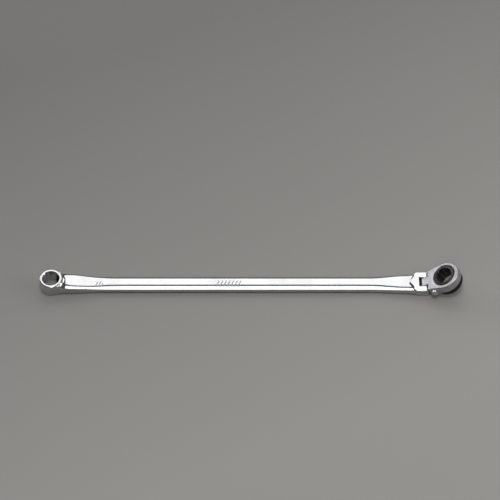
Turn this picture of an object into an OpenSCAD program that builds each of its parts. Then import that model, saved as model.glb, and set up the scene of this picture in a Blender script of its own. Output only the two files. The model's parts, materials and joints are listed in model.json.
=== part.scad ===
// Long double-ended box wrench: a fixed twelve-point box end on one end of a forged bar,
// and a reversible ratcheting box end on a flexing head at the other.
// Millimetres. The origin is on the axis of the fixed box end, on the plane the wrench lies on.
// +X runs along the bar to the flexing head, +Z is up.

/* [Fastener] */
// Distance across flats of the nut that both ends fit
across_flats = 14; // [13.5:0.1:14.5]
// Clearance added to the flats
flats_clearance = 0.1; // [0.05:0.05:0.2]

/* [Bar] */
// Width of the straight bar
bar_w = 15.5; // [14:0.5:17]
// Thickness of the straight bar
bar_t = 7; // [6:0.5:8]
// Squareness of the bar's oval section, 2 is an ellipse
bar_power = 2.6; // [2:0.1:4]

/* [Box end] */
// Outside diameter of the fixed ring
box_od = 21.1; // [20.5:0.1:22]
// Height of the fixed ring
box_h = 13.8; // [11:0.1:15]
// Width of the neck where it meets the ring
neck_w = 18; // [16:0.5:19]
// Height of the neck where it meets the ring
neck_t = 9.6; // [8:0.1:10.5]

/* [Fork] */
// Distance from the fixed ring's axis to the flex pivot
pivot_x = 351; // [250:1:450]
// Width of the fork over both tines
fork_w = 21.4; // [21:0.1:23]
// Thickness of the fork
fork_t = 8.5; // [8.3:0.1:9]
// Width of the slot between the tines
slot_w = 10.2; // [10.1:0.1:10.6]
// Distance from the pivot back to the slot's root
slot_back = 6.2; // [5.5:0.1:7]
// Distance from the pivot to the tines' ends
tine_reach = 3.1; // [2.9:0.1:3.1]
// Radius on the tines' end corners
tine_r = 2.4; // [2.4:0.1:3]
// Length of the raised point where the fork runs out over the bar
nose_l = 6; // [3:0.5:8]

/* [Pivot] */
// Diameter of the pivot screw's shank
screw_d = 3; // [2.8:0.1:3.2]
// Diameter of the pivot screw's head
screw_head_d = 5.6; // [5:0.1:6]
// Thickness of each friction washer
washer_t = 0.55; // [0.4:0.05:0.6]
// Diameter of the spring plunger that drags on the tang
plunger_d = 3; // [2.4:0.1:3.2]

/* [Ratchet head] */
// How far the head is flexed up from straight, in degrees
flex_rest = 30; // [0:1:45]
// Distance from the flex pivot to the ratchet's axis
head_reach = 21.8; // [21.8:0.1:23]
// Outside radius of the head
head_r = 14.3; // [14.2:0.1:15]
// Thickness of the head and its tang
head_t = 8.5; // [8.3:0.1:8.6]
// Distance from the flex pivot to the head's shoulders
shoulder_x = 4.6; // [4.6:0.1:5]
// Edge chamfer of the head
head_edge = 0.8; // [0.4:0.1:1]
// Radius of the bore that the gear runs in
gear_bore_r = 10.4; // [10.4:0.05:10.5]
// Radius of the open counterbore around the gear's top
top_bore_r = 11.1; // [11:0.1:11.3]

/* [Gear] */
// Number of teeth on the ratchet gear
teeth = 72; // [72:4:80]
// Radius over the gear's teeth
gear_r = 10.3; // [10.2:0.05:10.3]
// Depth of the gear's teeth
tooth_h = 0.5; // [0.4:0.05:0.55]
// How far the gear's sleeve reaches below the head's middle plane
sleeve_drop = 9.75; // [9:0.05:9.8]
// Outside radius of the spin ring below the head
ring_r = 13.2; // [12.5:0.1:13.5]

/* [Pawl and button] */
// Distance from the flex pivot to the pawl's pin
pawl_pin_x = 6.2; // [6.1:0.1:6.3]
// How far the pawl rocks each way, in degrees
pawl_swing = 4; // [4:0.5:5]
// Thickness of the pawl
pawl_t = 4.8; // [4.5:0.1:4.8]
// Distance from the flex pivot to the reversing button's axis
button_x = 10.1; // [10:0.05:10.1]
// Diameter of the button's caps
cap_d = 6.2; // [5.8:0.1:6.2]
// How far the button slides from one side to the other
button_travel = 2.2; // [2:0.1:2.3]

/* [Hidden] */
flats = across_flats + flats_clearance;
corner_r = flats / 2 / cos(30);
pivot_z = fork_t / 2;
fork_start = pivot_x - 10.5;
tine_end = pivot_x + tine_reach;
tang_w = slot_w - 2 * washer_t - 0.2;
running = 0.05;
half_t = head_t / 2;
pocket_t = pawl_t + 0.2;
gear_gap = pawl_pin_x - head_reach;
stem_r = 1.1;
cap_l = 4;
cap_out = 14.6;
cap_floor = cap_out - cap_l - button_travel - 0.1;
screw_seat = 2.2;
thin = 0.2;
eps = 0.01;
round_fn = 96;

// ---- shared shapes ----

// Points of an oval section, width along the first axis
function oval(w, t) = [
    for (i = [0 : 35])
        let (c = cos(10 * i), s = sin(10 * i))
            [w / 2 * sign(c) * pow(abs(c), 2 / bar_power), t / 2 * sign(s) * pow(abs(s), 2 / bar_power)]
];

// Points of a gear outline with pointed teeth, grown outwards by a clearance
function gear_points(grow) = [
    for (i = [0 : teeth - 1], k = [0 : 3])
        let (a = 360 / teeth * (i + [-0.06, 0.06, 0.44, 0.56][k]))
            (gear_r + grow - (k > 1 ? tooth_h : 0)) * [cos(a), sin(a)]
];

// Points of the side of the gear that faces the pawl, closed at the gear's axis
function gear_side(grow) = [
    [0, 0],
    for (i = [ceil(teeth * 0.36) : floor(teeth * 0.64)], k = [0 : 3])
        let (a = 360 / teeth * (i + [-0.06, 0.06, 0.44, 0.56][k]))
            (gear_r + grow - (k > 1 ? tooth_h : 0)) * [cos(a), sin(a)]
];

// Points of a round section swept along a helix that climbs in Z
function coil_points(r, wire_r, pitch, steps) = [
    for (i = [0 : steps], k = [0 : 7])
        let (a = 22.5 * i, q = r + wire_r * cos(45 * k))
            [q * cos(a), q * sin(a), pitch * a / 360 + wire_r * (1 + sin(45 * k))]
];

module coil(r, wire_r, pitch, turns) {
    steps = round(turns * 16);
    side = [
        for (i = [0 : steps - 1], k = [0 : 7])
            [8 * i + k, 8 * i + (k + 1) % 8, 8 * i + 8 + (k + 1) % 8, 8 * i + 8 + k]
    ];
    first = [[for (k = [7 : -1 : 0]) k]];
    last = [[for (k = [0 : 7]) 8 * steps + k]];
    polyhedron(coil_points(r, wire_r, pitch, steps), concat(side, first, last), convexity = 10);
}

// A twelve-point opening through the given height, with a lead-in at both mouths
module twelve_point(low, high) {
    lead = 0.9;
    translate([0, 0, low - eps])
        linear_extrude(high - low + 2 * eps) {
            circle(r = corner_r, $fn = 6);
            rotate(30) circle(r = corner_r, $fn = 6);
        }
    translate([0, 0, high - lead])
        cylinder(h = lead + eps, r1 = flats / 2 + 0.2, r2 = corner_r + 0.1, $fn = round_fn);
    translate([0, 0, low - eps])
        cylinder(h = lead + eps, r1 = corner_r + 0.1, r2 = flats / 2 + 0.2, $fn = round_fn);
}

// A ring turned from a rectangle with its outer corners chamfered
module turned_ring(inner, outer, low, high, edge) {
    rotate_extrude($fn = round_fn)
        polygon([
            [inner, low], [outer - edge, low], [outer, low + edge],
            [outer, high - edge], [outer - edge, high], [inner, high]
        ]);
}

// A shaft along Y between two places
module cross_shaft(r, from, to) {
    translate([0, to, 0])
        rotate([90, 0, 0])
            cylinder(h = to - from, r = r, $fn = round_fn);
}

// Moves a shape from the head's own frame, where X runs from the pivot to the ratchet's axis
module in_head() {
    translate([pivot_x, 0, pivot_z])
        rotate([0, -flex_rest, 0])
            children();
}

module at_gear() {
    in_head()
        translate([head_reach, 0, 0])
            children();
}

module at_pivot() {
    translate([pivot_x, 0, pivot_z])
        children();
}

// ---- handle ----

// A thin slice of the bar, flat on the ground plane
module slice(x, w, t) {
    translate([x, 0, t / 2])
        rotate([90, 0, 90])
            linear_extrude(thin) polygon(oval(w, t));
}

module tapered_bar(x1, w1, t1, x2, w2, t2) {
    hull() {
        slice(x1, w1, t1);
        slice(x2 - thin, w2, t2);
    }
}

module fork_block() {
    corner = 2.2;
    half = fork_w / 2;
    intersection() {
        linear_extrude(fork_t)
            polygon([
                [fork_start - nose_l, -1], [fork_start, -half + corner], [fork_start + corner, -half],
                [tine_end, -half], [tine_end, half], [fork_start + corner, half],
                [fork_start, half - corner], [fork_start - nose_l, 1]
            ]);
        translate([0, half, 0])
            rotate([90, 0, 0])
                linear_extrude(fork_w) {
                    polygon([
                        [fork_start - nose_l, 1.5], [fork_start + 0.8, 0], [tine_end - tine_r, 0],
                        [tine_end - tine_r, fork_t], [fork_start - nose_l + 0.6, fork_t], [fork_start - nose_l, fork_t - 0.6]
                    ]);
                    translate([tine_end - tine_r - eps, tine_r])
                        square([tine_r + eps, fork_t - 2 * tine_r]);
                    for (z = [tine_r, fork_t - tine_r])
                        translate([tine_end - tine_r, z])
                            circle(r = tine_r, $fn = round_fn);
                }
    }
}

module handle() {
    neck_end = 46;
    flare_start = 300;
    flare_end = fork_start - 6.5;
    color("gainsboro")
        difference() {
            union() {
                turned_ring(0, box_od / 2, 0, box_h, 0.9);
                tapered_bar(3, neck_w - 1, neck_t, 16, neck_w, neck_t);
                tapered_bar(16, neck_w, neck_t, neck_end, bar_w, bar_t);
                translate([neck_end - thin, 0, bar_t / 2])
                    rotate([90, 0, 90])
                        linear_extrude(flare_start - neck_end + 2 * thin) polygon(oval(bar_w, bar_t));
                tapered_bar(flare_start, bar_w, bar_t, flare_end, bar_w + 2.8, bar_t + 0.8);
                tapered_bar(flare_end - thin, bar_w + 2.8, bar_t + 0.8, fork_start + 1, fork_w - 1.4, fork_t - 0.2);
                fork_block();
            }
            twelve_point(0, box_h);
            translate([pivot_x - slot_back, -slot_w / 2, -1])
                cube([slot_back + fork_t, slot_w, fork_t + 2]);
            at_pivot() {
                cross_shaft(screw_d / 2, -fork_w, fork_w);
                cross_shaft(screw_head_d / 2 + running, fork_w / 2 - screw_seat, fork_w);
            }
            translate([pivot_x - slot_back - 12, 0, pivot_z])
                rotate([0, 90, 0])
                    cylinder(h = 13, r = plunger_d / 2 + running, $fn = round_fn);
        }
}

// Slotted screw: head sunk in the back tine, shank end flush with the front tine
module pivot_screw() {
    half = fork_w / 2;
    color("silver")
        at_pivot()
            difference() {
                union() {
                    cross_shaft(screw_d / 2, -half + 0.1, half - 1);
                    cross_shaft(screw_head_d / 2, half - screw_seat, half - 0.2);
                }
                translate([-screw_head_d, half - 0.9, -0.35])
                    cube([2 * screw_head_d, 2, 0.7]);
            }
}

module flex_washer(side) {
    color("silver")
        at_pivot()
            translate([0, side * (tang_w / 2 + 0.05 + washer_t / 2), 0])
                difference() {
                    cross_shaft(3.9, -washer_t / 2, washer_t / 2);
                    cross_shaft(screw_d / 2 + 0.1, -washer_t, washer_t);
                }
}

module flex_washer_front() {
    flex_washer(-1);
}

module flex_washer_back() {
    flex_washer(1);
}

// Round-nosed plunger that the spring holds against the tang's round end
module flex_plunger() {
    nose = pivot_x - fork_t / 2 - running;
    r = plunger_d / 2;
    color("dimgray")
        translate([nose, 0, pivot_z])
            rotate([0, -90, 0])
                rotate_extrude($fn = round_fn)
                    polygon([[0, 0], [r - 0.6, 0], [r, 0.6], [r, 6], [0, 6]]);
}

module flex_spring() {
    wire_r = 0.25;
    back = pivot_x - slot_back - 11.9;
    front = pivot_x - fork_t / 2 - running - 6.05;
    turns = 6;
    color("silver")
        translate([back, 0, pivot_z])
            rotate([0, 90, 0])
                coil(plunger_d / 2 - 0.35, wire_r, (front - back - 2 * wire_r) / turns, turns);
}

// ---- head ----

// Head outline: a round end and straight sides that meet it without a corner
module head_outline(inset) {
    half = fork_w / 2;
    reach = head_reach - shoulder_x;
    turn = 180 - atan(half / reach) - acos(head_r / norm([reach, half]));
    edge = head_r - inset;
    translate([head_reach, 0])
        circle(r = edge, $fn = round_fn);
    polygon([
        [shoulder_x + inset, inset - half], [head_reach + edge * cos(turn), -edge * sin(turn)],
        [head_reach + edge * cos(turn), edge * sin(turn)], [shoulder_x + inset, half - inset]
    ]);
}

module head_block() {
    hull() {
        translate([0, 0, -half_t + head_edge])
            linear_extrude(head_t - 2 * head_edge) head_outline(0);
        translate([0, 0, -half_t])
            linear_extrude(head_t) head_outline(head_edge);
    }
}

// Plan of the space that the pawl rocks in, open towards the gear
module pawl_room() {
    translate([pawl_pin_x, 0])
        circle(r = 2.1, $fn = round_fn);
    polygon([
        [pawl_pin_x - 0.6, -2], [pawl_pin_x + 1, -7.4], [pawl_pin_x + 9, -7.4],
        [pawl_pin_x + 9, 7.4], [pawl_pin_x + 1, 7.4], [pawl_pin_x - 0.6, 2]
    ]);
}

module head_housing() {
    color("darkgray")
        in_head()
            difference() {
                union() {
                    head_block();
                    cross_shaft(half_t, -tang_w / 2, tang_w / 2);
                    translate([0, -tang_w / 2, -half_t])
                        cube([shoulder_x + 2, tang_w, head_t]);
                }
                cross_shaft(screw_d / 2 + running, -tang_w, tang_w);
                translate([head_reach, 0, -head_t]) {
                    cylinder(h = 2 * head_t, r = gear_bore_r, $fn = round_fn);
                    translate([0, 0, head_t + half_t - 1.6])
                        cylinder(h = 5, r = top_bore_r, $fn = round_fn);
                    translate([0, 0, head_t + 2.8])
                        cylinder(h = 1.1, r = top_bore_r + 0.6, $fn = round_fn);
                }
                translate([0, 0, -pocket_t / 2])
                    linear_extrude(pocket_t)
                        difference() {
                            pawl_room();
                            translate([head_reach, 0])
                                circle(r = gear_bore_r - 0.2, $fn = round_fn);
                        }
                translate([pawl_pin_x, 0, -half_t - 1])
                    cylinder(h = half_t + 1 + pocket_t / 2 + 0.8, r = 1, $fn = round_fn);
                translate([button_x, 0, 0]) {
                    cross_shaft(stem_r + running, -20, 20);
                    for (side = [-1, 1])
                        cross_shaft(cap_d / 2 + running, side > 0 ? cap_floor : -20, side > 0 ? 20 : -cap_floor);
                }
            }
}

module pawl_pin() {
    color("silver")
        in_head()
            translate([pawl_pin_x, 0, 0.1 - half_t])
                cylinder(h = half_t + pocket_t / 2 + 0.6, r = 1, $fn = round_fn);
}

// Split wire ring that sits half in the gear's groove and half in the housing's groove
module snap_ring() {
    color("dimgray")
        at_gear()
            difference() {
                turned_ring(gear_r - 0.65, top_bore_r + 0.5, 2.9, 3.8, 0.1);
                translate([0, -1.2, 0])
                    cube([20, 2.4, 10]);
            }
}

module drag_washer() {
    color("dimgray")
        at_gear()
            turned_ring(gear_bore_r + 0.2, ring_r - 0.6, -half_t - 0.4, -half_t - 0.05, 0.05);
}

// ---- gear ----

module ratchet_gear() {
    r = gear_r;
    groove = gear_r - 0.75;
    sleeve = gear_r - 0.3;
    core = gear_r - tooth_h - 0.3;
    tooth_top = 2.5;
    tooth_low = -2.9;
    sunk = 0.1;
    color("dimgray")
        at_gear()
            difference() {
                union() {
                    translate([0, 0, tooth_low - sunk])
                        linear_extrude(tooth_top - tooth_low + 2 * sunk) polygon(gear_points(-0.02));
                    rotate_extrude($fn = round_fn)
                        polygon([
                            [0, -sleeve_drop], [sleeve - 0.3, -sleeve_drop], [sleeve, 0.3 - sleeve_drop],
                            [sleeve, 0.45 - sleeve_drop], [sleeve - 0.3, 0.45 - sleeve_drop],
                            [sleeve - 0.3, 1.05 - sleeve_drop], [sleeve, 1.05 - sleeve_drop],
                            [sleeve, -half_t - 0.5], [r, -half_t - 0.5], [r, -3.95], [r - 0.7, -3.95],
                            [r - 0.7, -3.05], [r, -3.05], [r, tooth_low], [core, tooth_low],
                            [core, tooth_top], [r, tooth_top], [r, 2.85], [groove, 2.85],
                            [groove, 3.85], [r - 0.2, 3.85], [r - 0.5, 4.15], [0, 4.15]
                        ]);
                }
                twelve_point(-sleeve_drop, 4.15);
            }
}

module gear_seal() {
    color("black")
        at_gear()
            translate([0, 0, -3.5])
                rotate_extrude($fn = round_fn)
                    translate([gear_r - 0.33, 0])
                        circle(r = 0.36, $fn = 48);
}

module spin_ring() {
    low = -sleeve_drop;
    high = -half_t - 0.5;
    bore = gear_r - 0.3;
    color("black")
        at_gear()
            rotate_extrude($fn = round_fn)
                polygon([
                    [bore + 0.8, low], [ring_r - 1, low], [ring_r, low + 1], [ring_r, high - 0.5],
                    [ring_r - 0.5, high], [bore, high], [bore, low + 1.05], [bore + 0.8, low + 1.05]
                ]);
}

// Split wire ring that keeps the spin ring on the gear's sleeve
module ring_clip() {
    color("silver")
        at_gear()
            difference() {
                turned_ring(gear_r - 0.55, gear_r + 0.4, 0.5 - sleeve_drop, 1 - sleeve_drop, 0.1);
                translate([0, -1, -sleeve_drop])
                    cube([20, 2, 2]);
            }
}

// ---- pawl ----

// Plan of the pawl in its middle position, with its pin at the origin.
// It is cut by the gear at every step of the swing, so that its teeth leave the gear's teeth freely.
module pawl_plan() {
    difference() {
        union() {
            circle(r = 1.9, $fn = round_fn);
            polygon([[-0.3, -1.8], [1.7, -6.7], [8.5, -6.7], [8.5, 6.7], [1.7, 6.7], [-0.3, 1.8]]);
        }
        for (turn = [-pawl_swing : 0.5 : pawl_swing])
            rotate(turn)
                translate([-gear_gap, 0])
                    polygon(gear_side(0.06));
        circle(r = 1 + running, $fn = round_fn);
    }
}

module pawl() {
    color("dimgray")
        in_head()
            translate([pawl_pin_x, 0, 0])
                rotate(-pawl_swing)
                    difference() {
                        translate([0, 0, -pawl_t / 2])
                            linear_extrude(pawl_t) pawl_plan();
                        translate([2.05, -10, -stem_r - 0.2])
                            cube([12, 20, 2 * stem_r + 0.4]);
                    }
}

// ---- button ----

module at_button() {
    in_head()
        translate([button_x, -button_travel / 2, 0])
            children();
}

module button_stem() {
    reach = cap_out - button_travel / 2 - 1;
    color("silver")
        at_button()
            difference() {
                cross_shaft(stem_r, -reach, reach);
                translate([0.7, 0, 0])
                    rotate([0, -90, 0])
                        cylinder(h = 3, r = 0.75, $fn = round_fn);
            }
}

// Round cap with a dished end, pressed on one end of the stem
module button_cap(side) {
    out = cap_out - button_travel / 2;
    r = cap_d / 2;
    color("gainsboro")
        at_button()
            rotate([90 * side, 0, 0])
                rotate_extrude($fn = round_fn)
                    polygon([
                        [0, 1 - out], [0, 0.5 - out], [r - 1.2, -out], [r - 0.5, -out], [r, 0.5 - out],
                        [r, cap_l - out - 0.3], [r - 0.3, cap_l - out], [stem_r, cap_l - out], [stem_r, 1 - out]
                    ]);
}

module button_cap_front() {
    button_cap(-1);
}

module button_cap_back() {
    button_cap(1);
}

module selector_ball() {
    color("silver")
        at_button()
            translate([-1.05, 0, 0])
                sphere(r = 0.7, $fn = round_fn);
}

module selector_spring() {
    color("silver")
        at_button()
            translate([-0.43, 0, 0])
                rotate([0, 90, 0])
                    coil(0.5, 0.1, 0.29, 3);
}

handle();
pivot_screw();
flex_washer_front();
flex_washer_back();
flex_plunger();
flex_spring();
head_housing();
pawl_pin();
snap_ring();
drag_washer();
ratchet_gear();
gear_seal();
spin_ring();
ring_clip();
pawl();
button_stem();
button_cap_front();
button_cap_back();
selector_ball();
selector_spring();
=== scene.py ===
import json
import math
import bmesh
import bpy
from mathutils import Matrix, Vector


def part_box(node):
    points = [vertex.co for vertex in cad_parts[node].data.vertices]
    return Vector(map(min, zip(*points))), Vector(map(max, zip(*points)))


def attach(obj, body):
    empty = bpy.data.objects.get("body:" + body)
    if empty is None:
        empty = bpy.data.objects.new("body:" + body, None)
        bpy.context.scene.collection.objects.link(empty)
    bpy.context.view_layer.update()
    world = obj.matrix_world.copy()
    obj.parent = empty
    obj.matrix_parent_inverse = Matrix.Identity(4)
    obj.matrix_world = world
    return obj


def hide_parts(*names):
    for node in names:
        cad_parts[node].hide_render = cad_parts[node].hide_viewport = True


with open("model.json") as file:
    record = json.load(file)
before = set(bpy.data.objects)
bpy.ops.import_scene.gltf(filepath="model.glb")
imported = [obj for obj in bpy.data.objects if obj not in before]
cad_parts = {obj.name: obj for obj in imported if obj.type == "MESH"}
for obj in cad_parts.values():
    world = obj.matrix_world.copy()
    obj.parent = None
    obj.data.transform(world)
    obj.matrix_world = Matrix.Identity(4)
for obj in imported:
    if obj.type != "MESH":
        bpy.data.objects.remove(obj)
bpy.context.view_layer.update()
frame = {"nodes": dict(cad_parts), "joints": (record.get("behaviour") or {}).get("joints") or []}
joints = {j["name"]: j for j in frame["joints"]}
bpy.context.scene.view_settings.view_transform = "Standard"

# pieces are shaped in millimetres, and makePiece turns them into metres
mmPerMetre = 1000

# the head's own directions: x from the pivot to the ratchet's axis, z out of the head's top
pivot = Vector(joints["head_flex"]["pos_m"]) * mmPerMetre
gearCentre = Vector(joints["gear_spin"]["pos_m"]) * mmPerMetre
headUp = Vector(joints["gear_spin"]["axis"]).normalized()
headAlong = (gearCentre - pivot).normalized()
headReach = (gearCentre - pivot).length
headSide = headUp.cross(headAlong)
headTurn = Matrix((headAlong, headSide, headUp)).transposed().to_4x4()
headPlace = Matrix.Translation(pivot) @ headTurn
gearPlace = Matrix.Translation(gearCentre) @ headTurn
print("frame loaded, head tilt", round(math.degrees(math.asin(headAlong.z)), 1))


# helpers for meshes
meshValues = {"weld": 0.0004, "sharpAngle": 32, "nearEnough": 0.01}


def smoothStep(low, high, value):
    t = min(max((value - low) / (high - low), 0.0), 1.0)
    return t * t * (3 - 2 * t)


def betweenKeys(keys, x):
    # keys are (x, value), eased from one to the next
    for (x1, v1), (x2, v2) in zip(keys, keys[1:]):
        if x <= x2:
            return v1 + (v2 - v1) * smoothStep(x1, x2, x)
    return keys[-1][1]


def evenSteps(low, high, step):
    count = max(1, round((high - low) / step))
    return [low + (high - low) * i / count for i in range(count + 1)]


def warpedGrid(bm, rows, columns, place):
    # rows by columns points, each put where place(row, column) says; the last column meets the first
    verts = bmesh.ops.create_grid(bm, x_segments=rows - 1, y_segments=columns, size=1.0)["verts"]
    for vert in verts:
        row = round((vert.co.x + 1) / 2 * (rows - 1))
        column = round((vert.co.y + 1) / 2 * columns) % columns
        vert.co = place(row, column)
    bmesh.ops.remove_doubles(bm, verts=verts, dist=meshValues["weld"])


def fillHoles(bm):
    bmesh.ops.holes_fill(bm, edges=[e for e in bm.edges if e.is_boundary], sides=0)


def spunProfile(bm, points, steps):
    # a closed outline of (radius, height) turned about z
    verts = [bm.verts.new((r, 0, z)) for r, z in points]
    edges = [bm.edges.new((verts[i], verts[(i + 1) % len(verts)])) for i in range(len(verts))]
    bmesh.ops.spin(bm, geom=verts + edges, cent=(0, 0, 0), axis=(0, 0, 1), dvec=(0, 0, 0),
                   angle=2 * math.pi, steps=steps, use_merge=True, use_duplicate=False)
    bmesh.ops.remove_doubles(bm, verts=bm.verts, dist=meshValues["weld"])


def roundedOutline(points, radii, steps):
    # points of an outline with each corner rounded by its own radius
    out = []
    for i, (px, py) in enumerate(points):
        p = Vector((px, py))
        before = Vector(points[i - 1]) - p
        after = Vector(points[(i + 1) % len(points)]) - p
        radius = radii[i]
        if radius <= 0:
            out.append((px, py))
            continue
        half = before.angle(after) / 2
        run = min(radius / math.tan(half), 0.49 * before.length, 0.49 * after.length)  # under half a side
        a, b = p + before.normalized() * run, p + after.normalized() * run
        for k in range(steps + 1):
            t = k / steps
            q = a * (1 - t) ** 2 + p * 2 * t * (1 - t) + b * t ** 2
            out.append((q.x, q.y))
    return out


def roundEdges(bm, edges, radius, segments, clamp=False):
    bmesh.ops.bevel(bm, geom=edges, offset=radius, segments=segments, profile=0.5,
                    affect="EDGES", material=-1, clamp_overlap=clamp)


def workMesh(bm):
    mesh = bpy.data.meshes.new("work")
    bm.to_mesh(mesh)
    return mesh


def addShape(bm, shape):
    # puts a second bmesh's faces in the first
    mesh = workMesh(shape)
    bm.from_mesh(mesh)
    bpy.data.meshes.remove(mesh)


def cutWith(bm, shape):
    # takes a second bmesh's solid out of the first
    whole, tool = [bpy.data.objects.new("work", workMesh(source)) for source in (bm, shape)]
    for obj in (whole, tool):
        bpy.context.scene.collection.objects.link(obj)
    cut = whole.modifiers.new("cut", "BOOLEAN")
    cut.operation = "DIFFERENCE"
    cut.solver = "EXACT"
    cut.object = tool
    result = whole.evaluated_get(bpy.context.evaluated_depsgraph_get())
    bm.clear()
    bm.from_mesh(result.to_mesh())
    result.to_mesh_clear()
    for obj in (whole, tool):
        mesh = obj.data
        bpy.data.objects.remove(obj)
        bpy.data.meshes.remove(mesh)


def drillAcross(bm, radius, low, high, x, z, segments):
    # a round hole along y, from low to high
    hole = bmesh.new()
    bmesh.ops.create_cone(hole, cap_ends=True, segments=segments, radius1=radius, radius2=radius,
                          depth=high - low)
    turn = Matrix.Rotation(math.radians(90), 3, "X")
    bmesh.ops.rotate(hole, cent=(0, 0, 0), matrix=turn, verts=hole.verts)
    bmesh.ops.translate(hole, vec=(x, (low + high) / 2, z), verts=hole.verts)
    cutWith(bm, hole)
    hole.free()


def makePiece(name, bm, body, material, place=None):
    if place is not None:
        bmesh.ops.transform(bm, matrix=place, verts=bm.verts)
    bmesh.ops.scale(bm, vec=[1 / mmPerMetre] * 3, verts=bm.verts)
    bmesh.ops.recalc_face_normals(bm, faces=bm.faces)
    for face in bm.faces:
        face.smooth = True
    sharp = math.radians(meshValues["sharpAngle"])
    for edge in bm.edges:
        edge.smooth = len(edge.link_faces) == 2 and edge.calc_face_angle() < sharp
    mesh = bpy.data.meshes.new(name)
    bm.to_mesh(mesh)
    bm.free()
    obj = bpy.data.objects.new(name, mesh)
    bpy.context.scene.collection.objects.link(obj)
    obj.data.materials.append(material)
    # large faces keep their own direction beside small rounded edges
    steady = obj.modifiers.new("steadyNormals", "WEIGHTED_NORMAL")
    steady.keep_sharp = True
    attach(obj, body)
    print("made", name, len(mesh.polygons), "faces")
    return obj


# helpers for shader nodes

def newGroup(name, inputs, outputs):
    # inputs are (label, value), and every socket is a plain number
    group = bpy.data.node_groups.new(name, "ShaderNodeTree")
    for label, value in inputs:
        socket = group.interface.new_socket(label, in_out="INPUT", socket_type="NodeSocketFloat")
        socket.default_value = value
    for label in outputs:
        group.interface.new_socket(label, in_out="OUTPUT", socket_type="NodeSocketFloat")
    return group, group.nodes.new("NodeGroupInput"), group.nodes.new("NodeGroupOutput")


def addNode(tree, kind, **settings):
    node = tree.nodes.new(kind)
    for key, value in settings.items():
        setattr(node, key, value)
    return node


def setInput(tree, socket, value):
    # a socket takes a plain number or colour, or another node's output
    if isinstance(value, bpy.types.NodeSocket):
        tree.links.new(value, socket)
    else:
        socket.default_value = value


def placeGroup(tree, group, values):
    node = addNode(tree, "ShaderNodeGroup", node_tree=group)
    for socket, value in zip(node.inputs, values):
        socket.default_value = value
    return node


def mathNode(tree, operation, first, second=None, clamp=False):
    node = addNode(tree, "ShaderNodeMath", operation=operation, use_clamp=clamp)
    setInput(tree, node.inputs[0], first)
    if second is not None:
        setInput(tree, node.inputs[1], second)
    return node.outputs[0]


def mixColours(tree, factor, first, second):
    node = addNode(tree, "ShaderNodeMix", data_type="RGBA")
    setInput(tree, node.inputs["Factor"], factor)
    setInput(tree, node.inputs[6], first)  # 6 and 7 are its two colours, and 2 the mixed one
    setInput(tree, node.inputs[7], second)
    return node.outputs[2]


def rangeNode(tree, value, fromLow, fromHigh, toLow, toHigh):
    node = addNode(tree, "ShaderNodeMapRange", clamp=True)
    setInput(tree, node.inputs["Value"], value)
    labels = ("From Min", "From Max", "To Min", "To Max")
    for label, number in zip(labels, (fromLow, fromHigh, toLow, toHigh)):
        node.inputs[label].default_value = number
    return node.outputs[0]


# shader groups that the finishes share
smudgeValues = {
    "cloudDetail": 5.0, "cloudRoughness": 0.62, "cloudFrom": 0.38, "cloudTo": 0.68,
    "scratchStretch": (0.035, 1.0, 1.0), "scratchDetail": 3.0, "scratchFrom": 0.6, "scratchTo": 0.72,
}


def makeSmudgeGroup():
    # cloudy mask of handling marks plus fine hairline scratches that mostly run along x
    v = smudgeValues
    inputs = [("Cloud Scale", 60.0), ("Scratch Scale", 900.0), ("Scratch Amount", 0.5)]
    group, start, end = newGroup("smudgeAndScratch", inputs, ["Smudge", "Scratch"])
    where = group.nodes.new("ShaderNodeTexCoord")
    cloud = addNode(group, "ShaderNodeTexNoise")
    cloud.inputs["Detail"].default_value = v["cloudDetail"]
    cloud.inputs["Roughness"].default_value = v["cloudRoughness"]
    group.links.new(where.outputs["Object"], cloud.inputs["Vector"])
    group.links.new(start.outputs["Cloud Scale"], cloud.inputs["Scale"])
    smudge = rangeNode(group, cloud.outputs["Fac"], v["cloudFrom"], v["cloudTo"], 0.0, 1.0)
    stretch = addNode(group, "ShaderNodeMapping")
    stretch.inputs["Scale"].default_value = v["scratchStretch"]
    group.links.new(where.outputs["Object"], stretch.inputs["Vector"])
    lines = addNode(group, "ShaderNodeTexNoise")
    lines.inputs["Detail"].default_value = v["scratchDetail"]
    group.links.new(stretch.outputs["Vector"], lines.inputs["Vector"])
    group.links.new(start.outputs["Scratch Scale"], lines.inputs["Scale"])
    scratch = rangeNode(group, lines.outputs["Fac"], v["scratchFrom"], v["scratchTo"], 0.0, 1.0)
    scratch = mathNode(group, "MULTIPLY", scratch, start.outputs["Scratch Amount"])
    group.links.new(smudge, end.inputs["Smudge"])
    group.links.new(scratch, end.inputs["Scratch"])
    return group


grainValues = {"waveDetail": 1.0, "grainDetail": 4.0, "grainRoughness": 0.6}


def makeGrainGroup():
    # height of a fine blasted or as-forged skin over a slow waviness
    inputs = [("Wave Scale", 40.0), ("Wave Height", 1.0), ("Grain Scale", 4000.0), ("Grain Height", 1.0)]
    group, start, end = newGroup("grainHeight", inputs, ["Height", "Grain"])
    where = group.nodes.new("ShaderNodeTexCoord")
    wave = addNode(group, "ShaderNodeTexNoise")
    wave.inputs["Detail"].default_value = grainValues["waveDetail"]
    grain = addNode(group, "ShaderNodeTexNoise")
    grain.inputs["Detail"].default_value = grainValues["grainDetail"]
    grain.inputs["Roughness"].default_value = grainValues["grainRoughness"]
    for node, label in ((wave, "Wave Scale"), (grain, "Grain Scale")):
        group.links.new(where.outputs["Object"], node.inputs["Vector"])
        group.links.new(start.outputs[label], node.inputs["Scale"])
    slow = mathNode(group, "MULTIPLY", wave.outputs["Fac"], start.outputs["Wave Height"])
    fine = mathNode(group, "MULTIPLY", grain.outputs["Fac"], start.outputs["Grain Height"])
    group.links.new(mathNode(group, "ADD", slow, fine), end.inputs["Height"])
    group.links.new(grain.outputs["Fac"], end.inputs["Grain"])
    return group


strokeValues = {"above": 0.004, "slant": 0.45}


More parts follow.
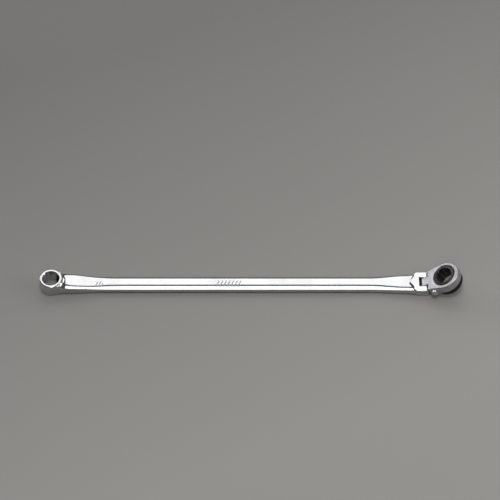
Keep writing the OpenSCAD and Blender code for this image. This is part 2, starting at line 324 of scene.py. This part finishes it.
def makeStrokeGroup():
    # mask of a short row of slanted strokes on an upward face, in metres along x and y
    inputs = [("From X", 0.0), ("To X", 0.01), ("From Y", 0.0), ("To Y", 0.01),
              ("Pitch", 0.002), ("Share", 0.3)]
    group, start, end = newGroup("strokeRow", inputs, ["Mask"])
    where = group.nodes.new("ShaderNodeTexCoord")
    split = group.nodes.new("ShaderNodeSeparateXYZ")
    group.links.new(where.outputs["Object"], split.inputs[0])
    x, y, z = split.outputs
    inside = mathNode(group, "GREATER_THAN", z, strokeValues["above"])
    for value, low, high in ((x, "From X", "To X"), (y, "From Y", "To Y")):
        past = mathNode(group, "GREATER_THAN", value, start.outputs[low])
        short = mathNode(group, "LESS_THAN", value, start.outputs[high])
        inside = mathNode(group, "MULTIPLY", inside, mathNode(group, "MULTIPLY", past, short))
    slanted = mathNode(group, "SUBTRACT", x, mathNode(group, "MULTIPLY", y, strokeValues["slant"]))
    phase = mathNode(group, "FRACT", mathNode(group, "DIVIDE", slanted, start.outputs["Pitch"]))
    stroke = mathNode(group, "LESS_THAN", phase, start.outputs["Share"])
    group.links.new(mathNode(group, "MULTIPLY", inside, stroke), end.inputs["Mask"])
    return group


smudgeGroup = makeSmudgeGroup()
grainGroup = makeGrainGroup()
strokeGroup = makeStrokeGroup()


# how every finish uses its marks, grain and strokes
finishValues = {
    "toneFrom": 0.35, "toneTo": 0.65, "scratchRoughness": 0.12, "strokeRoughness": 0.25, "strokeDepth": 0.5,
    "specular": 0.5,
}


def makeFinish(name, look):
    f = finishValues
    material = bpy.data.materials.new(name)
    material.use_nodes = True
    tree = material.node_tree
    shader = tree.nodes["Principled BSDF"]
    smudgeKeys = ("cloudScale", "scratchScale", "scratchAmount")
    smudge = placeGroup(tree, smudgeGroup, [look[key] for key in smudgeKeys])
    grainKeys = ("waveScale", "waveHeight", "grainScale", "grainHeight")
    grain = placeGroup(tree, grainGroup, [look[key] for key in grainKeys])
    marks = mathNode(tree, "MAXIMUM", smudge.outputs["Smudge"], smudge.outputs["Scratch"])
    colour = mixColours(tree, marks, look["colour"], look["markColour"])
    tone = rangeNode(tree, grain.outputs["Grain"], f["toneFrom"], f["toneTo"], 0.0, look["grainTone"])
    colour = mixColours(tree, tone, colour, look["grainColour"])
    rough = rangeNode(tree, smudge.outputs["Smudge"], 0.0, 1.0, look["roughness"], look["smudgeRoughness"])
    scratched = mathNode(tree, "MULTIPLY", smudge.outputs["Scratch"], f["scratchRoughness"])
    rough = mathNode(tree, "ADD", rough, scratched, clamp=True)
    height = grain.outputs["Height"]
    for row in look.get("strokes", ()):
        mask = placeGroup(tree, strokeGroup, row).outputs["Mask"]
        colour = mixColours(tree, mask, colour, look["strokeColour"])
        struck = mathNode(tree, "MULTIPLY", mask, f["strokeRoughness"])
        rough = mathNode(tree, "ADD", rough, struck, clamp=True)
        height = mathNode(tree, "SUBTRACT", height, mathNode(tree, "MULTIPLY", mask, f["strokeDepth"]))
    bump = addNode(tree, "ShaderNodeBump")
    bump.inputs["Strength"].default_value = look["bumpStrength"]
    bump.inputs["Distance"].default_value = look["bumpDistance"]
    tree.links.new(height, bump.inputs["Height"])
    tree.links.new(colour, shader.inputs["Base Color"])
    tree.links.new(rough, shader.inputs["Roughness"])
    tree.links.new(bump.outputs["Normal"], shader.inputs["Normal"])
    shader.inputs["Metallic"].default_value = look["metallic"]
    shader.inputs["Specular IOR Level"].default_value = look.get("specular", f["specular"])
    return material


# bar and ring: mirror-bright plating over a slightly wavy forging
polishedLook = {
    "colour": (0.64, 0.64, 0.645, 1), "markColour": (0.56, 0.56, 0.56, 1),
    "grainColour": (0.52, 0.52, 0.53, 1), "grainTone": 0.3,
    "roughness": 0.07, "smudgeRoughness": 0.13, "metallic": 1.0,
    "cloudScale": 55.0, "scratchScale": 700.0, "scratchAmount": 0.35,
    "waveScale": 60.0, "waveHeight": 1.0, "grainScale": 1500.0, "grainHeight": 0.012,
    "bumpStrength": 0.5, "bumpDistance": 0.0001,
    # each row of strokes: from x, to x, from y, to y, pitch, share of the pitch that is cut
    "strokes": ((0.0415, 0.0488, -0.0042, 0.0012, 0.0027, 0.34),
                (0.1545, 0.1785, -0.0045, 0.0022, 0.0034, 0.3)),
    "strokeColour": (0.3, 0.3, 0.31, 1),
}
# the button's caps are the same, without strokes and a little more worn
buttonLook = dict(polishedLook, strokes=(), roughness=0.12, smudgeRoughness=0.2, colour=(0.6, 0.6, 0.61, 1))
# head: plating over a blasted casting
satinLook = {
    "colour": (0.53, 0.53, 0.55, 1), "markColour": (0.47, 0.47, 0.5, 1),
    "grainColour": (0.36, 0.36, 0.385, 1), "grainTone": 0.5,
    "roughness": 0.3, "smudgeRoughness": 0.42, "metallic": 1.0,
    "cloudScale": 160.0, "scratchScale": 1300.0, "scratchAmount": 0.3,
    "waveScale": 180.0, "waveHeight": 0.25, "grainScale": 3200.0, "grainHeight": 0.35,
    "bumpStrength": 0.45, "bumpDistance": 0.00012,
}
phosphateLook = {
    "colour": (0.05, 0.043, 0.046, 1), "markColour": (0.03, 0.026, 0.028, 1),
    "grainColour": (0.11, 0.096, 0.1, 1), "grainTone": 0.5,
    "roughness": 0.24, "smudgeRoughness": 0.42, "metallic": 1.0,
    "cloudScale": 260.0, "scratchScale": 1500.0, "scratchAmount": 0.5,
    "waveScale": 300.0, "waveHeight": 0.3, "grainScale": 2600.0, "grainHeight": 0.3,
    "bumpStrength": 0.5, "bumpDistance": 0.0001,
}
blackRingLook = {
    "colour": (0.005, 0.005, 0.0055, 1), "markColour": (0.009, 0.009, 0.0095, 1),
    "grainColour": (0.012, 0.012, 0.013, 1), "grainTone": 0.4,
    "roughness": 0.4, "smudgeRoughness": 0.52, "metallic": 0.0, "specular": 0.2,
    "cloudScale": 220.0, "scratchScale": 1500.0, "scratchAmount": 0.4,
    "waveScale": 150.0, "waveHeight": 0.2, "grainScale": 2600.0, "grainHeight": 0.25,
    "bumpStrength": 0.35, "bumpDistance": 0.0001,
}
pinLook = {
    "colour": (0.6, 0.6, 0.61, 1), "markColour": (0.48, 0.48, 0.49, 1),
    "grainColour": (0.42, 0.42, 0.43, 1), "grainTone": 0.4,
    "roughness": 0.22, "smudgeRoughness": 0.36, "metallic": 1.0,
    "cloudScale": 320.0, "scratchScale": 1800.0, "scratchAmount": 0.6,
    "waveScale": 200.0, "waveHeight": 0.2, "grainScale": 3000.0, "grainHeight": 0.2,
    "bumpStrength": 0.35, "bumpDistance": 0.0001,
}
springLook = {
    "colour": (0.42, 0.42, 0.44, 1), "markColour": (0.3, 0.29, 0.29, 1),
    "grainColour": (0.25, 0.25, 0.26, 1), "grainTone": 0.4,
    "roughness": 0.26, "smudgeRoughness": 0.4, "metallic": 1.0,
    "cloudScale": 700.0, "scratchScale": 2500.0, "scratchAmount": 0.5,
    "waveScale": 400.0, "waveHeight": 0.1, "grainScale": 5000.0, "grainHeight": 0.15,
    "bumpStrength": 0.3, "bumpDistance": 0.00006,
}
rubberLook = {
    "colour": (0.018, 0.018, 0.018, 1), "markColour": (0.035, 0.034, 0.033, 1),
    "grainColour": (0.03, 0.03, 0.03, 1), "grainTone": 0.5,
    "roughness": 0.55, "smudgeRoughness": 0.75, "metallic": 0.0,
    "cloudScale": 500.0, "scratchScale": 2000.0, "scratchAmount": 0.1,
    "waveScale": 300.0, "waveHeight": 0.2, "grainScale": 4000.0, "grainHeight": 0.4,
    "bumpStrength": 0.4, "bumpDistance": 0.0001,
}

satinChrome = makeFinish("satinChrome", satinLook)
polishedChrome = makeFinish("polishedChrome", polishedLook)
buttonChrome = makeFinish("buttonChrome", buttonLook)
blackPhosphate = makeFinish("blackPhosphate", phosphateLook)
blackRing = makeFinish("blackRing", blackRingLook)
pinSteel = makeFinish("pinSteel", pinLook)
springSteel = makeFinish("springSteel", springLook)
sealRubber = makeFinish("sealRubber", rubberLook)
print("materials made")


# handle: the ring and the bar here, the fork after them
handleValues = {
    "across": 14.1, "ringRadius": 10.55, "ringHeight": 13.8, "ringEdge": 1.0, "ringColumns": 288,
    "leadDepth": 1.5, "leadRadius": 8.35, "leadPast": 0.2, "leadStep": 0.25,
    "wallStart": 2.2, "wallStep": 1.6, "outerStart": 1.5, "outerStep": 1.7,
    # the bar's width, height and squareness along x, which starts at the ring's axis
    "widths": [(3, 17.6), (16, 18.0), (46, 15.5), (300, 15.5), (334, 18.3), (342.5, 20.4)],
    "heights": [(3, 9.6), (16, 9.6), (46, 7.0), (300, 7.0), (336, 7.55), (342.5, 7.9)],
    "sectionPowers": [(3, 4.8), (24, 4.5), (60, 2.6), (300, 2.6), (334, 4.2)],
    # rows of points as (from, to, step), the first of them up to joinEnd in the ring's wall
    "barRows": [(0, 14, 0.35), (14, 50, 1.5), (50, 300, 5), (300, 330, 1.5), (330, 343, 0.25)],
    "barColumns": 120, "joinEnd": 14, "wallMiddle": 9.4,
    "filletLength": 9.0, "filletHeight": 3.7, "filletSide": 1.2, "filletSideFade": (0, 0.8),
    "filletTopFade": (0.05, 0.75),
    "noseTip": 336.2, "noseWide": 341.6, "noseHalf": 9.0, "shoulderHeight": 8.42, "shoulderRamp": 2.2,
    "shoulderFade": (0.3, 0.75), "upperHalf": 0.02,
}


def socketRadius(angle, depth, v):
    # two hexagons, one turned by 30 degrees, behind a cone that leads in from the mouth
    degrees = math.degrees(angle)
    offset = max(abs((degrees + shift) % 60 - 30) for shift in (30, 0))
    star = v["across"] / 2 / math.cos(math.radians(offset))
    if depth >= v["leadDepth"]:
        return star
    mouth, inner = v["leadRadius"], v["across"] / 2 + v["leadPast"]
    return max(star, mouth + (inner - mouth) * depth / v["leadDepth"])


def addRing(bm, v):
    top, edge, radius = v["ringHeight"], v["ringEdge"], v["ringRadius"]
    # a row with no radius lies on the socket
    depths = evenSteps(0, v["leadDepth"], v["leadStep"])
    heights = depths + evenSteps(v["wallStart"], top - v["wallStart"], v["wallStep"])
    heights += [top - d for d in reversed(depths)]
    profile = [(None, z) for z in heights]
    turns = [math.radians(a) for a in evenSteps(0, 90, 15)]
    corner = [(radius - edge + edge * math.sin(t), edge * math.cos(t)) for t in turns]
    high, low = top - edge - v["outerStart"], edge + v["outerStart"]
    profile += [(r, top - edge + lift) for r, lift in corner]
    profile += [(radius, z) for z in evenSteps(high, low, -v["outerStep"])]
    profile += [(r, edge - lift) for r, lift in reversed(corner)]
    profile.append(profile[0])

    def place(row, column):
        r, z = profile[row]
        angle = 2 * math.pi * column / v["ringColumns"]
        if r is None:
            r = socketRadius(angle, min(z, top - z), v)
        return (r * math.cos(angle), r * math.sin(angle), z)

    warpedGrid(bm, len(profile), v["ringColumns"], place)


def shoulderRise(x, y, v):
    # 0 on the bar and 1 on the fork, whose shoulder starts as a nose in the middle of the bar
    slope = v["noseHalf"] / (v["noseWide"] - v["noseTip"])
    inside = ((x - v["noseTip"]) * slope - abs(y)) / math.hypot(slope, 1)
    return smoothStep(-v["shoulderRamp"] / 2, v["shoulderRamp"] / 2, inside)


def addBar(bm, v):
    stations = [0]
    for low, high, step in v["barRows"]:
        stations += evenSteps(low, high, step)[1:]

    def place(row, column):
        x = stations[row]
        angle = 2 * math.pi * column / v["barColumns"]
        c, s = math.cos(angle), math.sin(angle)
        power = 2 / betweenKeys(v["sectionPowers"], x)
        width, height = betweenKeys(v["widths"], x), betweenKeys(v["heights"], x)
        y = width / 2 * math.copysign(abs(c) ** power, c)
        z = height / 2 * math.copysign(abs(s) ** power, s)
        if x < v["joinEnd"]:  # the first rows follow the ring's wall
            wall = math.sqrt(max(v["wallMiddle"] ** 2 - y * y, 1.0))
            x = wall + (v["joinEnd"] - wall) * x / v["joinEnd"]
        # the neck runs up and out into the ring's wall in a long hollow curve
        away = (math.hypot(x, y) - v["ringRadius"]) / v["filletLength"]
        if away < 1:
            grow = 1 - math.sqrt(1 - (1 - max(away, 0.0)) ** 2)
            y += grow * v["filletSide"] * math.copysign(smoothStep(*v["filletSideFade"], abs(c)), c)
            z += grow * v["filletHeight"] * smoothStep(*v["filletTopFade"], s)
        z += height / 2
        if s > v["upperHalf"]:
            fade = smoothStep(*v["shoulderFade"], z / v["shoulderHeight"])
            z += (v["shoulderHeight"] - z) * shoulderRise(x, y, v) * fade
        return (x, y, z)

    warpedGrid(bm, len(stations), v["barColumns"], place)
    fillHoles(bm)


# fork, with a slot for the head's tang and a hole for the screw
forkValues = {
    "start": 340.5, "end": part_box("handle")[1].x * mmPerMetre, "halfWidth": 10.7, "height": 8.5,
    "cornerCut": 2.2, "tineRadius": 2.4, "tineSegments": 10,
    "slotStart": 345.3, "slotHalf": 5.1, "slotCorner": 0.7, "slotSegments": 4, "slotClear": 4,
    "holeRadius": 1.5, "headHoleRadius": 2.85, "headSeat": 2.2, "holeClear": 2, "holeSegments": 48,
    "edge": 0.35, "edgeSegments": 3, "edgeAngle": 35, "weld": 0.001,
}


def edgesAt(bm, x, upright):
    # the edges in the plane at x that stand up, or the ones that lie level
    near = meshValues["nearEnough"]
    found = []
    for edge in bm.edges:
        a, b = [vert.co for vert in edge.verts]
        if abs(a.x - x) < near and abs(b.x - x) < near and (abs(a.z - b.z) > near) == upright:
            found.append(edge)
    return found


def forkSolid(v):
    bm = bmesh.new()
    half, cut = v["halfWidth"], v["cornerCut"]
    outline = [(v["start"], cut - half), (v["start"] + cut, -half), (v["end"], -half),
               (v["end"], half), (v["start"] + cut, half), (v["start"], half - cut)]
    face = bm.faces.new([bm.verts.new((x, y, 0)) for x, y in outline])
    lifted = bmesh.ops.extrude_face_region(bm, geom=[face])["geom"]
    lifted = [g for g in lifted if isinstance(g, bmesh.types.BMVert)]
    bmesh.ops.translate(bm, vec=(0, 0, v["height"]), verts=lifted)
    bmesh.ops.recalc_face_normals(bm, faces=bm.faces)
    roundEdges(bm, edgesAt(bm, v["end"], False), v["tineRadius"], v["tineSegments"])

    slot = bmesh.new()
    bmesh.ops.create_cube(slot, size=1.0)
    length = v["end"] - v["slotStart"] + v["slotClear"]
    bmesh.ops.scale(slot, vec=(length, 2 * v["slotHalf"], v["height"] + v["slotClear"]), verts=slot.verts)
    bmesh.ops.translate(slot, vec=(v["slotStart"] + length / 2, 0, v["height"] / 2), verts=slot.verts)
    roundEdges(slot, edgesAt(slot, v["slotStart"], True), v["slotCorner"], v["slotSegments"])
    cutWith(bm, slot)
    slot.free()

    # the screw's hole goes right through, and its head sits in a wider one at the back
    outside = half + v["holeClear"]
    drillAcross(bm, v["holeRadius"], -outside, outside, pivot.x, pivot.z, v["holeSegments"])
    seat = half - v["headSeat"]
    drillAcross(bm, v["headHoleRadius"], seat, outside, pivot.x, pivot.z, v["holeSegments"])
    bmesh.ops.remove_doubles(bm, verts=bm.verts, dist=v["weld"])
    least = math.radians(v["edgeAngle"])
    sharp = [e for e in bm.edges if len(e.link_faces) == 2 and e.calc_face_angle() > least]
    roundEdges(bm, sharp, v["edge"], v["edgeSegments"], clamp=True)
    return bm


def makeHandle():
    bm = bmesh.new()
    addRing(bm, handleValues)
    addBar(bm, handleValues)
    fork = forkSolid(forkValues)
    addShape(bm, fork)
    fork.free()
    handle = makePiece("handleForging", bm, "bar", polishedChrome)
    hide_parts("handle")


makeHandle()


# head: a round case on a flat tang that turns about the screw
headValues = {
    "radius": 14.3, "half": 4.25, "shoulder": 4.6, "shoulderHalf": 10.7, "tangHalf": 4.45, "edge": 1.2,
    "bore": 10.4, "topBore": 11.1, "topDepth": 1.6, "topMiddle": 0.8, "boreEdge": 0.2,
    "boreStart": -2.5, "boreStep": 1.5, "thinnest": 0.02,
    "buttonX": 10.1, "buttonHole": 3.25, "buttonFloor": 8.3, "buttonClear": 8, "buttonSegments": 64,
    # how far apart the columns are, in degrees, and the first ones past the shoulder
    "tipStep": 1.2, "tangStep": 0.6, "sideStep": 1.5, "pastShoulder": (0.4, 0.9, 2),
    # rows over a face, from the bore (0) to the rounded edge (1), and on the wall, from middle to edge
    "faceRows": (0.06, 0.15, 0.3, 0.45, 0.6, 0.72, 0.82, 0.9, 0.96, 1.0), "wallRows": (0.6, 0.2, -0.2, -0.6),
}


def headCorners(v):
    # the tang's tip, its inner corner and the shoulder, as angles at the ratchet's axis from the pivot
    reach = headReach - v["shoulder"]
    return (math.atan2(v["tangHalf"], headReach + v["half"]), math.atan2(v["tangHalf"], reach),
            math.atan2(v["shoulderHalf"], reach))


def headOutlineAt(angle, v):
    # distance from the ratchet's axis to the head's edge, angle 180 degrees is towards the pivot
    tip, corner, shoulder = headCorners(v)
    reach = headReach - v["shoulder"]
    away = math.pi - abs(math.atan2(math.sin(angle), math.cos(angle)))
    tangent = shoulder + math.acos(v["radius"] / math.hypot(reach, v["shoulderHalf"]))
    if away >= tangent:
        return v["radius"]
    if away > shoulder:
        # on the straight side, whose nearest point to the axis is where it meets the round end
        return v["radius"] / math.cos(tangent - away)
    if away > corner:
        return reach / math.cos(away)
    if away > tip:
        return v["tangHalf"] / math.sin(away)
    return (headReach + v["half"]) / math.cos(away)


def headAngles(v):
    tip, corner, shoulder = [math.degrees(a) for a in headCorners(v)]
    half = evenSteps(0, tip, v["tipStep"]) + evenSteps(tip, corner, v["tangStep"])[1:]
    half += evenSteps(corner, shoulder, v["sideStep"])[1:]
    *near, rest = [shoulder + a for a in v["pastShoulder"]]
    half += near + evenSteps(rest, 180, v["sideStep"])
    full = half + [360 - a for a in reversed(half[1:-1])]
    return [math.radians(180 - a) for a in full]


def headRows(v):
    # from the bore's lower edge up to the top, over the top face, down the wall and back under
    half, boreEdge = v["half"], v["boreEdge"]
    step = half - v["topDepth"]
    turns = [math.radians(a) for a in evenSteps(15, 90, 15)]
    rows = [("bore", v["bore"] + boreEdge, -half), ("bore", v["bore"], -half + boreEdge)]
    rows += [("bore", v["bore"], z) for z in evenSteps(v["boreStart"], step, v["boreStep"])]
    rows += [("bore", v["topBore"], z) for z in (step, half - v["topMiddle"], half - boreEdge)]
    rows += [("bore", v["topBore"] + boreEdge, half)]
    rows += [("face", t, 1) for t in v["faceRows"]]
    rows += [("edge", t, 1) for t in turns]
    rows += [("wall", t, 1) for t in v["wallRows"]]
    rows += [("edge", t, -1) for t in reversed(turns)]
    rows += [("face", t, -1) for t in reversed(v["faceRows"])]
    return rows + [rows[0]]


def makeHead():
    v = headValues
    angles, rows = headAngles(v), headRows(v)
    half, edge = v["half"], v["edge"]

    def heightAt(x):
        # the tang's end is round about the pivot
        return half if x > 0 else math.sqrt(max(half * half - x * x, v["thinnest"] ** 2))

    def place(row, column):
        kind, amount, side = rows[row]
        angle = angles[column]
        outline = headOutlineAt(angle, v)
        if kind == "bore":
            r, z = amount, side
            return (headReach + r * math.cos(angle), r * math.sin(angle), z)
        if kind == "face":
            inner = (v["topBore"] if side > 0 else v["bore"]) + v["boreEdge"]
            r = inner + (outline - edge - inner) * amount
            x = headReach + r * math.cos(angle)
            return (x, r * math.sin(angle), side * heightAt(x))
        r = outline - edge + edge * (math.sin(amount) if kind == "edge" else 1)
        x = headReach + r * math.cos(angle)
        straight = heightAt(x) - edge
        z = side * (straight + edge * math.cos(amount)) if kind == "edge" else amount * straight
        return (x, r * math.sin(angle), z if straight >= 0 else 0)

    bm = bmesh.new()
    warpedGrid(bm, len(rows), len(angles), place)
    bmesh.ops.recalc_face_normals(bm, faces=bm.faces)
    for side in (-1, 1):
        ends = sorted((side * v["buttonFloor"], side * (v["buttonFloor"] + v["buttonClear"])))
        drillAcross(bm, v["buttonHole"], *ends, v["buttonX"], 0, v["buttonSegments"])
    head = makePiece("headShell", bm, "head", satinChrome, headPlace)
    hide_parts("head_housing")


makeHead()


# ratchet gear, with its teeth and sleeve; heights are from the head's middle
gearValues = {
    "across": 14.1, "teeth": 72, "radius": 10.3, "top": 4.15, "bottom": -9.75,
    "toothDepth": 0.5, "toothGap": 0.02,
    "leadDepth": 0.3, "leadRadius": 8.2, "leadPast": 0.2, "leadRows": 0.9, "leadStep": 0.15,
    "wallStart": 1.4, "wallStep": 1.6,
    # the top's rounded rim, as (in from the edge, down from the top), and the step outside it
    "rim": [(0.6, 0), (0.5, 0), (0.38, 0.04), (0.24, 0.18), (0.2, 0.3)], "stepIn": 0.75, "stepFloor": 2.85,
    "toothTop": 2.5, "toothLow": -2.9, "grooveTop": -3.05, "grooveLow": -3.95, "grooveDepth": 0.7,
    "sleeve": 10.0, "sleeveTop": -4.75,
    # the groove for the ring's clip and the sleeve's rounded end, up from the bottom
    "clipTop": 1.05, "clipLow": 0.45, "clipDepth": 0.3, "endRows": [(0, 0.3), (0.1, 0.1), (0.3, 0)],
    # where each tooth's flanks start and end, in parts of a tooth
    "flanks": (-0.06, 0.06, 0.44, 0.56),
}


def makeGear():
    v = gearValues
    pitch = 2 * math.pi / v["teeth"]
    angles = [pitch * (i + k) for i in range(v["teeth"]) for k in v["flanks"]]
    r, top, low, sleeve = v["radius"], v["top"], v["bottom"], v["sleeve"]
    groove, clip = r - v["grooveDepth"], sleeve - v["clipDepth"]
    # a row with no radius lies on the socket
    depths = evenSteps(0, v["leadRows"], v["leadStep"])
    heights = [low + d for d in depths] + evenSteps(low + v["wallStart"], top - v["wallStart"], v["wallStep"])
    heights += [top - d for d in reversed(depths)]
    rows = [(None, z) for z in heights]
    rows += [(r - inward, top - down) for inward, down in v["rim"]]
    rows += [(r - v["stepIn"], rows[-1][1]), (r - v["stepIn"], v["stepFloor"]), (r, v["stepFloor"])]
    rows += [(r, v["toothTop"]), ("tooth", v["toothTop"]), ("tooth", v["toothLow"]), (r, v["toothLow"])]
    rows += [(r, v["grooveTop"]), (groove, v["grooveTop"]), (groove, v["grooveLow"]), (r, v["grooveLow"])]
    rows += [(r, v["sleeveTop"]), (sleeve, v["sleeveTop"]), (sleeve, low + v["clipTop"])]
    rows += [(clip, low + v["clipTop"]), (clip, low + v["clipLow"]), (sleeve, low + v["clipLow"])]
    rows += [(sleeve - inward, low + up) for inward, up in v["endRows"]]
    rows.append(rows[0])

    def place(row, column):
        radius, z = rows[row]
        angle = angles[column]
        if radius is None:
            radius = socketRadius(angle, min(z - low, top - z), v)
        elif radius == "tooth":
            flank = column % len(v["flanks"])  # the last two points of each tooth are down in its gap
            radius = r - v["toothGap"] - (v["toothDepth"] if flank > 1 else 0)
        return (radius * math.cos(angle), radius * math.sin(angle), z)

    bm = bmesh.new()
    warpedGrid(bm, len(rows), len(angles), place)
    gear = makePiece("gearInsert", bm, "gear", blackPhosphate, gearPlace)
    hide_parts("ratchet_gear")


makeGear()


# spin ring, a plain black collar
spinRingValues = {
    "bore": 10.0, "radius": 13.2, "low": -9.75, "high": -4.75, "lowEdge": 1.1, "highEdge": 0.5,
    "clipRecess": 0.8, "clipDepth": 1.05, "boreEdge": 0.15, "edgeSteps": 6, "turnSteps": 128,
}


def makeSpinRing():
    v = spinRingValues
    recess, floor = v["bore"] + v["clipRecess"], v["low"] + v["clipDepth"]
    points = [(recess, v["low"]), (v["radius"], v["low"]), (v["radius"], v["high"]),
              (v["bore"], v["high"]), (v["bore"], floor), (recess, floor)]
    radii = [v["boreEdge"], v["lowEdge"], v["highEdge"], v["boreEdge"], 0, 0]
    bm = bmesh.new()
    spunProfile(bm, roundedOutline(points, radii, v["edgeSteps"]), v["turnSteps"])
    ring = makePiece("spinCollar", bm, "gear", blackRing, gearPlace)
    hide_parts("spin_ring")


makeSpinRing()


# reversing button's caps, one at each side of the head
capValues = {
    "radius": 3.1, "length": 4.0, "stemHole": 1.1, "holeFloor": 1.0, "baseCut": 0.3, "turnSteps": 72,
    # the hollow outer end and its rim, as (radius, down from the end)
    "end": [(0.0, 0.5), (0.6, 0.48), (1.2, 0.375), (1.7, 0.15), (2.05, 0.04), (2.3, 0), (2.6, 0.02),
            (2.85, 0.12), (3.02, 0.3), (3.1, 0.55)],
    "out": 14.6, "travel": 2.2, "buttonX": 10.1,
}


def makeCap(name, side, node):
    v = capValues
    r, length = v["radius"], v["length"]
    floor = length - v["holeFloor"]
    # heights run from the cap's base at 0 to its outer end
    points = [(0.0, floor)] + [(radius, length - down) for radius, down in v["end"]]
    points += [(r, v["baseCut"]), (r - v["baseCut"], 0), (v["stemHole"], 0), (v["stemHole"], floor)]
    bm = bmesh.new()
    spunProfile(bm, points, v["turnSteps"])
    turn = Matrix.Rotation(math.radians(-90 * side), 3, "X")
    bmesh.ops.rotate(bm, cent=(0, 0, 0), matrix=turn, verts=bm.verts)
    base = v["out"] - v["travel"] / 2 - length
    bmesh.ops.translate(bm, vec=(v["buttonX"], side * base - v["travel"] / 2, 0), verts=bm.verts)
    cap = makePiece(name, bm, "button", buttonChrome, headPlace)
    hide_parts(node)


makeCap("buttonCapFront", -1, "button_cap_front")
makeCap("buttonCapBack", 1, "button_cap_back")


# the CAD nodes that stay get their own finish
nodeFinish = {
    "pivot_screw": pinSteel, "flex_washer_front": pinSteel, "flex_washer_back": pinSteel,
    "flex_plunger": blackPhosphate, "flex_spring": springSteel, "pawl_pin": pinSteel,
    "snap_ring": blackPhosphate, "drag_washer": blackPhosphate, "gear_seal": sealRubber,
    "ring_clip": springSteel, "pawl": blackPhosphate, "button_stem": pinSteel,
    "selector_ball": pinSteel, "selector_spring": springSteel,
}
for nodeName, finish in nodeFinish.items():
    node = frame["nodes"][nodeName]
    node.data.materials.clear()
    node.data.materials.append(finish)
print("CAD nodes finished")


# floor, a pale sheet with painted light: its colour is lighter towards the front right, standing in for the
# light falling off across it
floorValues = {
    "size": 6.0, "segments": 8, "litNearColour": (0.345, 0.337, 0.319, 1), "dimFarColour": (0.2, 0.194, 0.183, 1),
    "slant": 0.45, "fadeReach": 0.27, "cloudScale": 3.0, "cloudShare": 0.1, "roughness": 0.9, "specular": 0.2,
}


def makeFloor():
    v = floorValues
    bm = bmesh.new()
    bmesh.ops.create_grid(bm, x_segments=v["segments"], y_segments=v["segments"], size=v["size"] / 2)
    mesh = bpy.data.meshes.new("floor")
    bm.to_mesh(mesh)
    bm.free()
    floor = bpy.data.objects.new("floor", mesh)
    bpy.context.scene.collection.objects.link(floor)
    material = bpy.data.materials.new("paperSweep")
    material.use_nodes = True
    tree = material.node_tree
    shader = tree.nodes["Principled BSDF"]
    where = tree.nodes.new("ShaderNodeTexCoord")
    cloud = addNode(tree, "ShaderNodeTexNoise")
    cloud.inputs["Scale"].default_value = v["cloudScale"]
    tree.links.new(where.outputs["Object"], cloud.inputs["Vector"])
    split = tree.nodes.new("ShaderNodeSeparateXYZ")
    tree.links.new(where.outputs["Object"], split.inputs[0])
    # painted light falloff: the floor's colour ramps from darker at the back left to lighter at the front
    # right
    across = mathNode(tree, "MULTIPLY", split.outputs["X"], v["slant"])
    slanted = mathNode(tree, "SUBTRACT", split.outputs["Y"], across)
    near = rangeNode(tree, slanted, v["fadeReach"], -v["fadeReach"], 0.0, 1 - v["cloudShare"])
    clouds = mathNode(tree, "MULTIPLY", cloud.outputs["Fac"], v["cloudShare"])
    near = mathNode(tree, "ADD", near, clouds, clamp=True)
    colour = mixColours(tree, near, v["dimFarColour"], v["litNearColour"])
    tree.links.new(colour, shader.inputs["Base Color"])
    shader.inputs["Roughness"].default_value = v["roughness"]
    shader.inputs["Specular IOR Level"].default_value = v["specular"]
    mesh.materials.append(material)


# light panels, all turned towards the middle of the object
lightValues = {
    "middle": (0.19, 0.0, 0.0), "worldColour": (0.9, 0.92, 1.0, 1), "worldStrength": 0.11,
    # distance from the middle, degrees from straight up towards the camera, degrees to the right,
    # width, height and brightness
    "panels": {
        "topPanel": (3.0, 10.75, 0, 1.5, 3.09, 1.6),
        "overhead": (3.0, 8, 0, 0.7, 0.7, 10.0),
        "frontStrip": (3.0, 49.5, 0, 0.95, 1.35, 1.65),
        "backPanel": (2.2, -45.5, 0, 1.8, 1.45, 1.55),
        "leftPanel": (2.4, -57, -50, 1.15, 1.15, 2.3),
        "rightBackPanel": (2.4, -52, 46, 0.9, 1.0, 1.9),
        "rightPanel": (2.0, 16, 68, 1.2, 1.2, 2.3),
    },
}


def makePanel(name, distance, lean, across, width, height, brightness):
    data = bpy.data.lights.new(name, "AREA")
    data.shape = "RECTANGLE"
    data.size, data.size_y = width, height
    data.energy = brightness * math.pi * width * height
    light = bpy.data.objects.new(name, data)
    bpy.context.scene.collection.objects.link(light)
    turn, swing = math.radians(lean), math.radians(across)
    away = Vector((math.sin(swing), -math.sin(turn) * math.cos(swing), math.cos(turn) * math.cos(swing)))
    light.location = Vector(lightValues["middle"]) + away * distance
    light.rotation_euler = away.to_track_quat("Z", "Y").to_euler()


def makeLights():
    for name, panel in lightValues["panels"].items():
        makePanel(name, *panel)
    world = bpy.data.worlds.new("studio")
    bpy.context.scene.world = world
    world.use_nodes = True
    background = world.node_tree.nodes["Background"]
    background.inputs["Color"].default_value = lightValues["worldColour"]
    background.inputs["Strength"].default_value = lightValues["worldStrength"]


# camera, in metres, degrees from straight down and millimetres of lens and sensor
cameraValues = {
    "place": (0.1866, -1.358, 1.921), "tilt": 36.1, "lens": 180.0, "sensor": 36.0, "farthest": 20.0,
}


def makeCamera():
    v = cameraValues
    data = bpy.data.cameras.new("camera")
    data.lens = v["lens"]
    data.sensor_width = v["sensor"]
    data.clip_end = v["farthest"]
    camera = bpy.data.objects.new("camera", data)
    camera.location = v["place"]
    camera.rotation_euler = (math.radians(v["tilt"]), 0, 0)
    bpy.context.scene.collection.objects.link(camera)
    bpy.context.scene.camera = camera


makeFloor()
makeLights()
makeCamera()
print("floor, lights and camera made")
